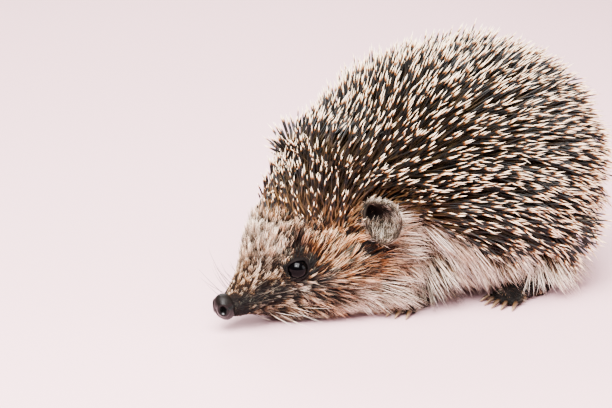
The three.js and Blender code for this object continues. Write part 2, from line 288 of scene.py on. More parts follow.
# ---- Markings ----
# The coat's pattern as three values for each place, which colour the skin and every hair alike: dark on
# the muzzle, round the eye and on the feet, orange on brow and cheek, and pale on forehead and skirt.
# The dark value also carries painted shade: under the body, along the low hem and in the ears.
def markings(points):
    """How dark, how orange and how pale the animal is at each point, each from 0 to 1; the dark value also
    holds painted shade.
    """
    face = in_head(points)
    back, side, up = face[:, 0], np.abs(face[:, 1]), face[:, 2]
    on_head = 1 - step_up(back, 52, 66)
    eye_off = np.minimum(*(np.linalg.norm((face - c) / (1.35, 1, 1), axis=1) for c in eyes.values()))
    mouth = mouth_height + 0.06 * back

    # Dark: the muzzle's mask, the lips, round, before and behind the eye, and the feet; painted shade darkens
    # the feet further, the belly between the legs and the low hem.
    mask = step_up(up, mouth - 0.4, mouth + 0.4) * (1 - step_up(up - 0.06 * back, 1.5, 5.5))
    mask *= 1 - step_up(back, 17, 25)
    lip = np.exp(-(((up - mouth) / 0.5) ** 2)) * (1 - step_up(back, mouth_corner - 1, mouth_corner + 2))
    ring = 1 - step_up(eye_off, 3.7, 5)
    corner = np.exp(-(((back - 20.5) / 2.6) ** 2) - ((up - 8) / 1.8) ** 2) * step_up(side, 3, 7)
    behind_eye = np.exp(-(((back - 30) / 8) ** 2) - ((up - 1.5) / 5) ** 2) * 0.42
    # Painted shade under the body: the chest and the belly between the legs are darkened up to about 20 mm, as
    # are the feet, whose dark fur is partly their own.
    inner = 1 - step_up(np.abs(points[:, 1]), 29, 36) * step_up(points[:, 0], -30, 0)
    feet = 0.95 - 0.95 * step_up(points[:, 2], 9, 13)
    feet = np.maximum(feet, inner * (0.8 - 0.8 * step_up(points[:, 2], 16, 22))) * (1 - on_head)
    # Painted shade along the low hem, darkest next to the floor.
    underside_shade = 0.9 - 0.9 * step_up(points[:, 2], 3.5, 9)
    dark = np.clip(np.maximum.reduce([mask, lip, ring, corner, behind_eye * on_head, feet, underside_shade]), 0, 1)

    # Orange: the cheek, the brow, and the mane behind the ear.
    cheek = step_up(back, 24, 34) * (1 - step_up(up, 16, 26)) * step_up(up, -16, -7)
    brow = (0.45 + 0.55 * step_up(back, 20, 32)) * step_up(up, 6, 14) * on_head
    mane = 0.85 * step_up(back, 46, 60) * step_up(points[:, 2], 22, 31)
    orange = np.clip(np.maximum.reduce([0.8 * cheek * on_head, 0.95 * brow, mane]), 0, 1)

    # Pale: the bridge of the nose, a stripe over the lips, the chin, the throat, the nape and the skirt.
    bridge = (0.42 - 0.3 * step_up(back, 16, 30)) * step_up(up - 0.35 * back, -1, 5)
    bridge = bridge * step_up(back, 9, 19) * on_head
    stripe = np.exp(-(((back - 21) / 7) ** 2) - ((up - mouth - 2.6) / 1.3) ** 2) * step_up(back, 13, 18)
    chin = (1 - step_up(up, mouth - 1.2, mouth - 0.4)) * (1 - step_up(back, 26, 34))
    throat = step_up(back, 26, 38) * (1 - step_up(up, -8, -1)) * (1 - step_up(points[:, 0], 60, 80))
    nape = 0.65 * step_up(back, 46, 58) * (1 - step_up(points[:, 0], -5, 10))
    skirt = 1.6 * step_up(points[:, 0], -34, -14) * (1 - step_up(points[:, 2], 21, 32))
    pale = np.maximum.reduce([bridge, stripe, 0.05 * chin, 0.7 * throat, nape, skirt])

    # The ears are grey-brown, with painted shade darkening their upper half and, most of all, the hollow.
    on_ear, hollow = by_ear(points) < 1.02, ear_hollow(points)
    rim = step_up(by_ear(points), 0.68, 0.9)
    shaded = 0.75 * step_up(up - ear_centres[0][2], -4, 2) * (1 - rim)
    dark = np.where(on_ear, np.maximum.reduce([0.2 + 0 * up, shaded, hollow]), dark)
    orange, pale = np.where(on_ear, 0.15, orange), np.where(on_ear, 0.62 * (1 - hollow), pale)
    return np.stack([dark, orange, np.clip(pale, 0, 1) * (1 - ring) * (1 - feet)], axis=1)


def put_marks(mesh, marks):
    """Keeps the markings on a mesh's vertices, as the red, green and blue of an attribute."""
    layer = mesh.attributes.new("marks", "FLOAT_COLOR", "POINT")
    layer.data.foreach_set("color", np.column_stack([marks, np.ones(len(marks))]).astype(np.float32).ravel())


points = mesh_points(skin.data)
marks = markings(points)
marks[:, 2] = 1 - step_up(by_ear(points), 0.95, 1.05)  # on the bare skin, blue tells the ears
put_marks(skin.data, marks)
skin.data.transform(Matrix.Scale(mm, 4))
skin.data.polygons.foreach_set("use_smooth", np.ones(len(skin.data.polygons), bool))


def linear(hex_code):
    """An sRGB hex colour as linear red, green, blue and alpha."""
    parts = [int(hex_code[i : i + 2], 16) / 255 for i in (0, 2, 4)]
    return (*[c / 12.92 if c <= 0.04045 else ((c + 0.055) / 1.055) ** 2.4 for c in parts], 1)


def add(tree, kind, settings):
    """Adds a node. A key names a property or an input, and a value that is a socket is linked."""
    made = tree.nodes.new(kind)
    for key, value in settings.items():
        if isinstance(key, str) and hasattr(made, key):
            setattr(made, key, value)
        elif isinstance(value, bpy.types.NodeSocket):
            tree.links.new(value, made.inputs[key])
        else:
            made.inputs[key].default_value = value
    return made


def fill_ramp(ramp_node, *stops):
    """Sets a colour ramp's stops, given as pairs of a place and a hex colour."""
    ramp = ramp_node.color_ramp
    ramp.elements[0].position, ramp.elements[1].position = stops[0][0], stops[-1][0]
    ramp.elements[0].color, ramp.elements[1].color = linear(stops[0][1]), linear(stops[-1][1])
    for at, colour in stops[1:-1]:
        ramp.elements.new(at).color = linear(colour)


def new_material(name):
    """An empty node material and its tree."""
    made = bpy.data.materials.new(name)
    made.use_nodes = True
    made.node_tree.nodes.clear()
    return made, made.node_tree


# ---- Bare skin ----
# Living skin under the coat, tanned brown by pigment and grey on the ears. It gives the eye a matt,
# dark ground between the hairs, with fine creases about 0.6 mm apart.
crease_spacing, crease_depth = 0.625 * mm, 0.2 * mm
bare_skin, tree = new_material("bare_skin")
place = add(tree, "ShaderNodeTexCoord", {}).outputs["Object"]
marks = add(tree, "ShaderNodeAttribute", {"attribute_name": "marks"}).outputs["Color"]
split = add(tree, "ShaderNodeSeparateColor", {"Color": marks})
speckle = add(tree, "ShaderNodeTexNoise", {"Vector": place, "Scale": 900.0, "Detail": 4.0})
creases = add(
    tree, "ShaderNodeTexVoronoi",
    {"Vector": place, "Scale": 1 / crease_spacing, "feature": "DISTANCE_TO_EDGE"},
)
tan = add(tree, "ShaderNodeValToRGB", {"Fac": speckle.outputs["Fac"]})
fill_ramp(tan, (0.3, "20150e"), (0.7, "3e2a1b"))
ear_skin = add(
    tree, "ShaderNodeMix",
    {"data_type": "RGBA", 0: split.outputs[2], 6: tan.outputs["Color"], 7: linear("3c352b")},
)
# The dark markings darken the skin, with painted shade under the body, on the hem and in the ears among them.
shade = add(
    tree, "ShaderNodeMix",
    {"data_type": "RGBA", 0: split.outputs[0], 6: ear_skin.outputs[2], 7: linear("120c0a")},
)
bump = add(
    tree, "ShaderNodeBump",
    {"Height": creases.outputs["Distance"], "Strength": 0.5, "Distance": crease_depth},
)
surface = add(
    tree, "ShaderNodeBsdfPrincipled",
    {"Base Color": shade.outputs[2], "Normal": bump.outputs["Normal"], "Roughness": 0.75,
     "Specular IOR Level": 0.2},
)
add(tree, "ShaderNodeOutputMaterial", {"Surface": surface.outputs["BSDF"]})
skin.data.materials.append(bare_skin)

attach(skin, "root")
sides = ("left", "right")
flesh = [
    "crown", "shoulders", "back", "rump", "belly", "head", "muzzle", "lower_jaw", "neck", "tail",
    *[f"ear_{side}" for side in sides],
    *[f"{limb}{part}_{side}" for limb in limbs for part in ("leg", "foot") for side in sides],
]
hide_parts(*flesh)

# ---- Eyes ----
# Two balls of wet, almost black cornea, each held by a lid of dark skin that leaves an almond-shaped
# opening. The tear film gives the eye a small sharp highlight over black.
def as_piece(name, mesh, material):
    """A smooth-shaded piece of that mesh, fixed to the animal's one body."""
    mesh.polygons.foreach_set("use_smooth", np.ones(len(mesh.polygons), bool))
    mesh.materials.append(material)
    piece = bpy.data.objects.new(name, mesh)
    bpy.context.scene.collection.objects.link(piece)
    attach(piece, "root")
    return piece


eye_gloss, tree = new_material("wet_eye")
surface = add(
    tree, "ShaderNodeBsdfPrincipled",
    {"Base Color": linear("030304"), "Roughness": 0.04, "IOR": 1.4, "Specular IOR Level": 0.2},
)
add(tree, "ShaderNodeOutputMaterial", {"Surface": surface.outputs["BSDF"]})

eye_open = (math.radians(88), math.radians(51))  # half the opening's width and height, seen from the centre
lid_thickness, lid_gap = 0.35, 0.06
lid_turn, lid_tilt = math.radians(22), math.radians(16)
for name, centre in eyes.items():
    sign = math.copysign(1, centre[1])
    middle = head_frame @ Vector(centre)
    ball = bmesh.new()
    bmesh.ops.create_uvsphere(ball, u_segments=48, v_segments=32, radius=eye_radius)
    bmesh.ops.transform(ball, matrix=Matrix.Scale(mm, 4) @ Matrix.Translation(middle), verts=ball.verts)
    eyeball = as_piece(f"eyeball_{name}", mesh_of(ball, f"eyeball_{name}"), eye_gloss)
    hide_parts(f"eye_{name}")

    # The lids are one shell over the ball, cut away where the eye is open and thickened outwards.
    lids = bmesh.new()
    bmesh.ops.create_uvsphere(lids, u_segments=96, v_segments=64, radius=eye_radius + lid_gap)
    looks = Matrix.Rotation(sign * lid_turn, 4, "Z") @ Matrix.Rotation(sign * lid_tilt, 4, "X")
    opened = []
    for v in lids.verts:
        wide = math.atan2(v.co.x, sign * v.co.y)
        high = math.asin(max(-1, min(1, v.co.z / v.co.length)))
        almond = abs(wide / eye_open[0]) ** 1.6 + abs(high / eye_open[1]) ** 2
        if almond < 1 and sign * v.co.y > 0 or sign * v.co.y < -0.3:
            opened.append(v)
    bmesh.ops.delete(lids, geom=opened, context="VERTS")
    rim = [v for v in lids.verts if v.is_boundary]
    bmesh.ops.smooth_vert(lids, verts=rim, factor=0.5, use_axis_x=True, use_axis_y=True, use_axis_z=True)
    give_wall(lids, -lid_thickness)
    put = Matrix.Scale(mm, 4) @ head_frame @ Matrix.Translation(Vector(centre)) @ looks
    bmesh.ops.transform(lids, matrix=put, verts=lids.verts)
    mesh = mesh_of(lids, f"eyelids_{name}")
    put_marks(mesh, np.tile((1.0, 0, 0), (len(mesh.vertices), 1)))
    as_piece(f"eyelids_{name}", mesh, bare_skin)

# ---- Nose pad ----
# A moist black pad of bare skin at the tip of the snout, grained like fine leather, with a
# comma-shaped nostril on each side and a groove down its middle. It is wet below and drier on top.
pad_size, pad_centre = (7.2, 7.8, 9.4), (1.2, 0, 0.4)
nostril_depth, nostril_radius = 2.0, 1.05
pad = bmesh.new()
poles_fore_and_aft = Matrix.Rotation(math.pi / 2, 4, "Y")
bmesh.ops.create_uvsphere(pad, u_segments=96, v_segments=72, radius=0.5, matrix=poles_fore_and_aft)
for v in pad.verts:
    v.co = Vector(v.co[i] * pad_size[i] for i in range(3))
    front = max(0, -v.co.x / 3.8)
    v.co.z += 0.35 * front * (v.co.z > 0) * v.co.z / 4
    push = 0
    for side in (-1, 1):
        off = v.co - Vector((-2.3, side * 2.7, 0.7))
        bow = math.hypot(off.x, off.y, off.z * 0.86)
        push += nostril_depth * math.exp(-((bow / nostril_radius) ** 4))
        push -= 0.35 * math.exp(-(((bow - 1.7) / 0.5) ** 2))
        tail = v.co - Vector((-0.2, side * 3.9, 1.2))
        push += 0.5 * math.exp(-((tail.x / 1.5) ** 2) - (tail.z / 0.6) ** 2 - (tail.y / 1.2) ** 2)
    groove = 0.5 * math.exp(-((v.co.y / 0.35) ** 2)) * (v.co.x < 0) * min(1, max(0, (1.6 - v.co.z) / 2))
    v.co -= v.co.normalized() * (push + groove)
put = Matrix.Scale(mm, 4) @ head_frame @ Matrix.Translation(pad_centre)
upper = [[float(step_up(v.co.z + 0.5 * v.co.x, -0.5, 3))] for v in pad.verts]
bmesh.ops.transform(pad, matrix=put, verts=pad.verts)
pad_mesh = mesh_of(pad, "nose_pad")
put_marks(pad_mesh, np.tile(upper, (1, 3)))

wet_leather, tree = new_material("wet_nose_leather")
place = add(tree, "ShaderNodeTexCoord", {}).outputs["Object"]
grain = add(tree, "ShaderNodeTexVoronoi", {"Vector": place, "Scale": 2200.0, "feature": "F1"})
bump = add(
    tree, "ShaderNodeBump",
    {"Height": grain.outputs["Distance"], "Strength": 0.35, "Distance": 0.00015, "invert": True},
)
marks = add(tree, "ShaderNodeAttribute", {"attribute_name": "marks"}).outputs["Fac"]
shade = add(tree, "ShaderNodeMix", {"data_type": "RGBA", 0: marks, 6: linear("070606"), 7: linear("120d0a")})
matt = add(tree, "ShaderNodeMath", {"operation": "MULTIPLY_ADD", 0: marks, 1: 0.2, 2: 0.32})
wet = add(tree, "ShaderNodeMath", {"operation": "MULTIPLY_ADD", 0: marks, 1: -0.3, 2: 0.32})
surface = add(
    tree, "ShaderNodeBsdfPrincipled",
    {"Base Color": shade.outputs[2], "Normal": bump.outputs["Normal"], "Roughness": matt.outputs[0],
     "Specular IOR Level": 0.2, "Coat Weight": wet.outputs[0], "Coat Roughness": 0.08},
)
add(tree, "ShaderNodeOutputMaterial", {"Surface": surface.outputs["BSDF"]})
nose_pad = as_piece("nose_pad", pad_mesh, wet_leather)
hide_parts("nose")

# ---- Coat: how it grows ----
# Every spine, tuft and claw is a copy of a small closed shape, set on the skin at its root, turned to
# lie with the coat, and joined into a few meshes.
skin_points = mesh_points(skin.data) / mm
skin.data.calc_loop_triangles()
corners = np.empty(len(skin.data.loop_triangles) * 3, np.int32)
skin.data.loop_triangles.foreach_get("vertices", corners)
corners = corners.reshape(-1, 3)
skin_normals = np.empty(len(skin.data.vertices) * 3, np.float32)
skin.data.vertices.foreach_get("normal", skin_normals)
skin_normals = skin_normals.reshape(-1, 3).astype(float)
a, b, c = (skin_points[corners[:, i]] for i in range(3))
areas = np.linalg.norm(np.cross(b - a, c - a), axis=1) / 2
centres = (a + b + c) / 3


def unit(v):
    """Each vector, made one long."""
    return v / np.maximum(np.linalg.norm(v, axis=-1, keepdims=True), 1e-9)


def scatter(where, spacing, seed):
    """Roots and normals on the skin where the test holds, about evenly spaced."""
    tries, closest = 3.2, 0.78  # roots tried for each place, and how close two may be in spacings
    rng = np.random.default_rng(seed)
    chosen = np.flatnonzero(where(centres))
    share = areas[chosen] / areas[chosen].sum()
    count = int(areas[chosen].sum() / spacing**2 * tries)
    picked = rng.choice(chosen, count, p=share)
    u, v = rng.random((2, count, 1))
    u, v = np.where(u + v > 1, 1 - u, u), np.where(u + v > 1, 1 - v, v)
    tri = corners[picked]
    weights = np.stack([1 - u - v, u, v])
    roots = sum(weights[i] * skin_points[tri[:, i]] for i in range(3))
    normals = unit(sum(weights[i] * skin_normals[tri[:, i]] for i in range(3)))
    tree_of_roots = kdtree.KDTree(count)
    for i, root in enumerate(roots):
        tree_of_roots.insert(root, i)
    tree_of_roots.balance()
    kept = np.ones(count, bool)
    for i in range(count):
        if kept[i]:
            for _, j, _ in tree_of_roots.find_range(roots[i], spacing * closest):
                if j > i:
                    kept[j] = False
    return roots[kept], normals[kept], rng


def taper_shape(sides, rings):
    """A closed thin shape along Z, from 0 to 1, with rings given as pairs of a height and a radius."""
    bm = bmesh.new()
    bmesh.ops.create_circle(bm, cap_ends=True, segments=sides, radius=rings[0][1])
    edges = bm.edges[:]
    for height, radius in rings[1:]:
        grown = bmesh.ops.extrude_edge_only(bm, edges=edges)["geom"]
        edges = [g for g in grown if isinstance(g, bmesh.types.BMEdge)]
        verts = [g for g in grown if isinstance(g, bmesh.types.BMVert)]
        for v in verts:
            v.co = (*(v.co.xy.normalized() * max(radius, 1e-4)), height)
    bmesh.ops.pointmerge(bm, verts=verts, merge_co=(0, 0, 1))
    bmesh.ops.recalc_face_normals(bm, faces=bm.faces)
    bm.verts.ensure_lookup_table()
    co = np.array([v.co for v in bm.verts])
    faces = [[v.index for v in f.verts] for f in bm.faces]
    bm.free()
    return co, faces


most_triangles = 180000  # in one piece of the coat
patch_size = 0.003  # how much of the unwrap each copy takes
axis_height, coat_front, coat_length = 30, -85, 170  # the line round which the skin is unrolled


def plant(name, shape, roots, heading, bend, length, radius, tone, marks, material, slot):
    """A copy of a shape at each root, joined from head to tail into as few pieces as may be.

    Sizes are in millimetres, one for each copy.
    """
    co, faces = shape
    pieces = math.ceil(len(roots) * sum(len(f) - 2 for f in faces) / most_triangles)
    order = np.argsort(roots[:, 0])
    if pieces > 1:
        for i, part in enumerate(np.array_split(order, pieces)):
            each = (values[part] for values in (roots, heading, bend, length, radius, tone, marks))
            plant(f"{name}_{i + 1}", shape, *each, material, slot)
        return
    count, size = len(roots), len(co)
    heading = unit(heading)
    across = unit(np.cross(heading, (0.31, 0.17, 0.93)))  # square to it, whichever way it points
    beside = np.cross(heading, across)
    out = roots[:, None] + heading[:, None] * (co[:, 2] * length[:, None])[..., None]
    out += bend[:, None] * (co[:, 2] ** 2 * length[:, None])[..., None]
    out += across[:, None] * (co[:, 0] * radius[:, None])[..., None]
    out += beside[:, None] * (co[:, 1] * radius[:, None])[..., None]
    corner = np.concatenate(faces)
    sizes = np.array([len(f) for f in faces])
    loops = (corner + np.arange(count)[:, None] * size).ravel()
    mesh = bpy.data.meshes.new(name)
    mesh.vertices.add(count * size)
    mesh.vertices.foreach_set("co", (out * mm).astype(np.float32).ravel())
    mesh.loops.add(len(loops))
    mesh.loops.foreach_set("vertex_index", loops.astype(np.int32))
    mesh.polygons.add(count * len(faces))
    totals = np.tile(sizes, count)
    mesh.polygons.foreach_set("loop_start", (np.cumsum(totals) - totals).astype(np.int32))
    mesh.update(calc_edges=True)
    for label, values in (("along", np.tile(co[:, 2], count)), ("tone", np.repeat(tone, size))):
        layer = mesh.attributes.new(label, "FLOAT", "POINT")
        layer.data.foreach_set("value", values.astype(np.float32))
    put_marks(mesh, np.repeat(marks, size, axis=0))
    # Each copy is a small patch at its root's place on the skin, unrolled round its length.
    turn = np.arctan2(roots[:, 1], roots[:, 2] - axis_height) / (2 * math.pi) + 0.5
    back = (roots[:, 0] - coat_front) / coat_length
    low, high = np.array((turn.min(), back.min())), np.array((turn.max(), back.max()))
    spot = 0.02 + 0.95 * (np.column_stack([turn, back]) - low) / (high - low)
    around = np.arctan2(co[:, 1], co[:, 0]) / (2 * math.pi) + 0.5
    patch = patch_size * np.column_stack([around, co[:, 2]])
    layer = mesh.uv_layers.new(name="OFBake")
    layer.data.foreach_set("uv", (spot[:, None] + patch[corner]).astype(np.float32).ravel())
    as_piece(name, mesh, material)


def lie(roots, normals, stream, lift, rng, scatter_by):
    """Headings along a stream over the skin, lifted off it by an angle in radians, a little astray."""
    against = (unit(stream) * normals).sum(1, keepdims=True)
    # Where the skin faces the stream, the coat is pressed flat and doesn't part around that place.
    flat = unit(unit(stream) - np.where(against < 0, 0.9, 1) * against * normals)
    side = np.cross(normals, flat)
    astray = rng.normal(0, scatter_by, (len(roots), 1))
    flat = flat * np.cos(astray) + side * np.sin(astray)
    lift = np.broadcast_to(lift, len(roots))[:, None] + rng.normal(0, scatter_by * 0.5, (len(roots), 1))
    return flat * np.cos(lift) + normals * np.sin(lift)


def leaders(roots, rng, group):
    """For each root, the nearest of the few that lead a group of about that many."""
    chosen = rng.choice(len(roots), max(1, len(roots) // group), replace=False)
    near = kdtree.KDTree(len(chosen))
    for i in chosen:
        near.insert(roots[i], int(i))
    near.balance()
    return np.array([near.find(root)[1] for root in roots])


def spine_edge(points):
    """The height at which spines give way to fur, from the brow over the ears and along the flanks."""
    x = points[:, 0]
    edge = np.interp(x, (-62, -52, -42, -30, -20, 0, 40, 75), (37, 32.5, 31, 36.5, 35, 25, 18.5, 19))
    return edge + 1.2 * np.sin(x * 0.9 + points[:, 1] * 0.3)


# ---- Spines ----
# Stiff hollow hairs of keratin, just under 20 mm long and under 1 mm thick, cream at the tip, then
# dark brown, then tan down to the skin. They stand up most on the crown and lie back to the rump.
spine_length, spine_radius, spine_spacing = 18.5, 0.32, 1.45


def spine_stream(points):
    """The way that spines point over the skin: forwards over the brow, back and down behind it."""
    x = points[:, 0]
    ahead = np.interp(x, (-60, -50, -40, -25), (-0.5, -0.1, 0.5, 1))
    fall = np.interp(x, (-60, -40, -15, 10, 40, 62, 78), (-1.3, -0.9, -0.35, 0.0, 0.4, 1.2, 2.2))
    fall = fall + 0.35 * np.abs(points[:, 1]) / 45 * step_up(x, -30, 10)
    return np.column_stack([ahead, 0 * x, -fall])


def coat_values(tree):
    """What each spine or hair carries: the place along it, its own tone, and its three markings."""
    along = add(tree, "ShaderNodeAttribute", {"attribute_name": "along"}).outputs["Fac"]
    tone = add(tree, "ShaderNodeAttribute", {"attribute_name": "tone"}).outputs["Fac"]
    marks = add(tree, "ShaderNodeAttribute", {"attribute_name": "marks"}).outputs["Color"]
    return along, tone, add(tree, "ShaderNodeSeparateColor", {"Color": marks})


# Smooth keratin, a little glossy, banded along each spine. Those round the face are browner.
keratin, tree = new_material("spine_keratin")
along, tone, split = coat_values(tree)
shift = add(tree, "ShaderNodeMath", {"operation": "MULTIPLY_ADD", 0: tone, 1: 0.09, 2: -0.045})
band = add(tree, "ShaderNodeMath", {"operation": "ADD", 0: along, 1: shift.outputs[0]})
dark_ramp = add(tree, "ShaderNodeValToRGB", {"Fac": band.outputs[0]})
fill_ramp(
    dark_ramp, (0.0, "26211a"), (0.25, "4c402e"), (0.42, "352c22"), (0.52, "1a1a19"), (0.76, "151615"),
    (0.815, "8a5a34"), (0.85, "eccfa8"), (1.0, "fdeedb"),
)
tan_ramp = add(tree, "ShaderNodeValToRGB", {"Fac": band.outputs[0]})
fill_ramp(
    tan_ramp, (0.0, "35261a"), (0.3, "80603f"), (0.52, "6b4f34"), (0.62, "1d1713"), (0.8, "151210"),
    (0.84, "8a5a34"), (0.875, "e8c9a2"), (1.0, "fbe8d0"),
)
shade = add(
    tree, "ShaderNodeMix",
    {"data_type": "RGBA", 0: split.outputs[1], 6: dark_ramp.outputs["Color"], 7: tan_ramp.outputs["Color"]},
)
surface = add(
    tree, "ShaderNodeBsdfPrincipled",
    {"Base Color": shade.outputs[2], "Roughness": 0.42, "Specular IOR Level": 0.4},
)
add(tree, "ShaderNodeOutputMaterial", {"Surface": surface.outputs["BSDF"]})

spine_shape = taper_shape(5, ((0, 0.6), (0.4, 1.0), (0.72, 0.95), (0.88, 0.6), (1, 0)))
roots, normals, rng = scatter(lambda p: p[:, 2] > spine_edge(p) - 1, spine_spacing, 11)
# None crosses an ear: each place that a spine may pass on its way out is clear of them.
kept = (roots[:, 2] > spine_edge(roots)) & (by_ear(roots) > 1.15)
for reach in (5, 8, 11, 14):
    kept &= by_ear(roots + reach * unit(normals + unit(spine_stream(roots)))) > 1
roots, normals = roots[kept], normals[kept]
x = roots[:, 0]
leader = leaders(roots, rng, 8)
lift = np.radians(np.interp(x, (-62, -54, -46, -20, 10, 50, 75), (22, 28, 42, 48, 43, 37, 32)))
lift -= np.radians(15) * (1 - step_up(roots[:, 2], 32, 55))
heading = lie(roots, normals, spine_stream(roots), lift, rng, 0.3)
heading = unit(heading + 0.35 * heading[leader])
length = spine_length * np.interp(x, (-60, -45, -20, 20), (0.62, 0.76, 0.95, 1))
length = length * rng.uniform(0.86, 1.08, len(x))
above_edge = roots[:, 2] - spine_edge(roots)
length *= 0.72 + 0.28 * step_up(above_edge, 0, 8)
# Spines that stick out furthest at the sides are shorter.
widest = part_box("back")[1].y / mm + 1.5
beyond = np.abs(roots[:, 1] + heading[:, 1] * length) - widest
length = np.maximum(length - np.maximum(beyond, 0) / np.maximum(np.abs(heading[:, 1]), 0.3), 0.7 * length)
radius = spine_radius * rng.uniform(0.85, 1.1, len(x))
bend = rng.normal(0, 0.03, (len(x), 3)) + np.array((0, 0, -0.03))
marks = np.zeros((len(x), 3))
marks[:, 1] = 0.75 * (1 - step_up(above_edge, 2, 12)) * (1 - step_up(x, -30, 0)) + 0.08
tone = rng.random(len(x))
plant("spines", spine_shape, roots, heading, bend, length, radius, tone, marks, keratin, "spines")

# ---- Fur ----
# Coarse hair over the face, flanks, belly and legs: brown at the root and pale at the tip, gathered into wisps
# with dark gaps, where some wisps are darkened as painted shade. It runs back from the nose, up over the
# forehead and down at the throat.
# Dry hair is matt with a faint sheen, and its colour runs along it by four ramps: plain, orange, pale
# and dark, mixed by the markings at its root.
hair, tree = new_material("coarse_hair")
along, tone, split = coat_values(tree)
shift = add(tree, "ShaderNodeMath", {"operation": "MULTIPLY_ADD", 0: tone, 1: 1.25, 2: -0.8})
band = add(tree, "ShaderNodeMath", {"operation": "ADD", 0: along, 1: shift.outputs[0]})
kinds = []
for stops in (
    ((0.0, "0c0706"), (0.4, "3c291c"), (0.66, "a07a55"), (1.0, "f4dcc0")),
    ((0.0, "100804"), (0.4, "5a351d"), (0.66, "bd7d4b"), (1.0, "f6d0a8")),
    ((0.0, "33251b"), (0.12, "866d54"), (0.38, "e8d6c0"), (1.0, "fff8ee")),
    ((0.0, "060505"), (0.4, "161513"), (0.72, "302e28"), (1.0, "6e6a5c")),
):
    ramp = add(tree, "ShaderNodeValToRGB", {"Fac": band.outputs[0]})
    fill_ramp(ramp, *stops)
    kinds.append(ramp.outputs["Color"])
shade = kinds[0]
# Orange, then pale, then dark are mixed in; the dark ramp also lays the markings' painted shade.
for channel, colour in zip((1, 2, 0), kinds[1:]):
    mixed = {"data_type": "RGBA", 0: split.outputs[channel], 6: shade, 7: colour}
    shade = add(tree, "ShaderNodeMix", mixed).outputs[2]
surface = add(
    tree, "ShaderNodeBsdfPrincipled", {"Base Color": shade, "Roughness": 0.6, "Specular IOR Level": 0.3},
)
add(tree, "ShaderNodeOutputMaterial", {"Surface": surface.outputs["BSDF"]})


def fur_stream(points):
    """The way that fur lies: back from the nose, rising over the forehead, falling at the cheek and flank."""
    face = in_head(points)
    back, up = face[:, 0], face[:, 2]
    rise = 1.1 * step_up(up, -3, 15) * (1 - step_up(back, 28, 50)) + 0.2 * step_up(up, 0, 12)
    rise = rise - 0.35 * (1 - step_up(up, -5, 2)) * step_up(back, 12, 24) - 0.8 * (1 - step_up(up, -14, -6))
    on_head = np.column_stack([np.ones(len(up)), 0 * up, rise]) @ np.array(head_frame.to_3x3()).T
    z = points[:, 2]
    fall = np.interp(z, (10, 22, 32, 44), (2.0, 1.3, 0.35, 0.0))
    fall = fall * np.interp(points[:, 0], (-30, 0, 40, 75), (1.3, 1.2, 0.8, 0.55))
    on_body = np.column_stack([np.ones(len(z)), 0 * z, -fall])
    share = step_up(back, 46, 64)[:, None]
    flow = unit(on_head) * (1 - share) + unit(on_body) * share
    return np.where((by_ear(points) < 1.02)[:, None], (0.35, 0, 1), flow)


hair_shape = taper_shape(3, ((0, 0.9), (0.4, 1.0), (0.75, 0.6), (1, 0)))
floor_gap = 1.2  # no hair comes nearer to the floor


def trimmed(roots, heading, bend, length, clear=floor_gap):
    """Lengths cut so that no tip comes nearer to the floor than that or sticks out wider than the body."""
    drop = np.maximum(-(heading[:, 2] + bend[:, 2]) * length, 1e-3)
    out = np.maximum(np.sign(roots[:, 1]) * (heading[:, 1] + bend[:, 1]) * length, 1e-3)
    room = widest - np.abs(roots[:, 1])
    return length * np.clip(np.minimum((roots[:, 2] - clear) / drop, room / out), 0.05, 1)


def grow(
    name, where, spacing, length, lift, radius, seed, slot, astray=0.2, gather=0.5, wisp=9, stream=fur_stream,
    tint=None, gap_shade=0.0,
):
    """Fur on the skin where the test holds. Length and lift may be numbers or change with the place."""
    roots, normals, rng = scatter(where, spacing, seed)
    length = (length(roots) if callable(length) else length) * rng.uniform(0.75, 1.15, len(roots))
    lift = np.radians(lift(roots) if callable(lift) else lift)
    heading = lie(roots, normals, stream(roots), lift, rng, astray)
    leader = leaders(roots, rng, wisp)
    tips = roots + heading * length[:, None]
    bend = (tips[leader] - tips) * gather / length[:, None]
    bend = np.clip(bend, -0.5, 0.5) + rng.normal(0, 0.05, (len(roots), 3))
    # The wisps end at different heights along the hem, with dark gaps between them.
    clear = floor_gap + 4 * rng.random(len(roots))[leader] * step_up(roots[:, 2], 5, 10)
    length = trimmed(roots, heading, bend, length, clear)
    tone = 0.35 * rng.random(len(roots)) + 0.65 * rng.beta(0.5, 0.5, len(roots))[leader]
    width = radius * rng.uniform(0.8, 1.15, len(roots))
    # Each wisp strays from the markings at its root, and so the colours break up.
    marks = markings(roots) if tint is None else np.tile(tint, (len(roots), 1))
    marks = marks + marks * rng.normal(0, 0.4, (len(roots), 3))[leader]
    # Painted shade: a share of the wisps is darkened at random to stand for the dark gaps between tufts.
    marks[:, 0] += gap_shade * (rng.random(len(roots)) < 0.2)[leader] * (1.2 - marks[:, 2])
    marks = np.clip(marks, 0, 1)
    plant(name, hair_shape, roots, heading, bend, length, width, tone, marks, hair, slot)


eye_bed = eye_radius + 0.3  # no hair grows nearer to the middle of an eye


def lip_gap(points):
    """How far a point is above or below the line of the mouth, and large behind its corner."""
    face = in_head(points)
    beyond = 9 * step_up(face[:, 0], mouth_corner - 2, mouth_corner)
    return np.abs(face[:, 2] - mouth_height - 0.06 * face[:, 0]) + beyond


def eye_gap(points):
    """How far a point is from the middle of the nearer eye."""
    face = in_head(points)
    return np.minimum(*(np.linalg.norm(face - c, axis=1) for c in eyes.values()))


def furry(points):
    """Where fur grows at all: not among the spines, on the ears, on the eyes or under the nose pad."""
    face = in_head(points)
    pad_radii = np.array(pad_size) / 2
    border = spine_edge(points) + 2 + 9 * (1 - step_up(by_ear(points), 1.4, 2.1)) * (face[:, 0] < 50)
    return (
        (points[:, 2] < border) & (by_ear(points) > 1) & (eye_gap(points) > eye_bed)
        & (np.linalg.norm((face - pad_centre) / pad_radii, axis=1) > 0.97) & (lip_gap(points) > 0.35)
    )


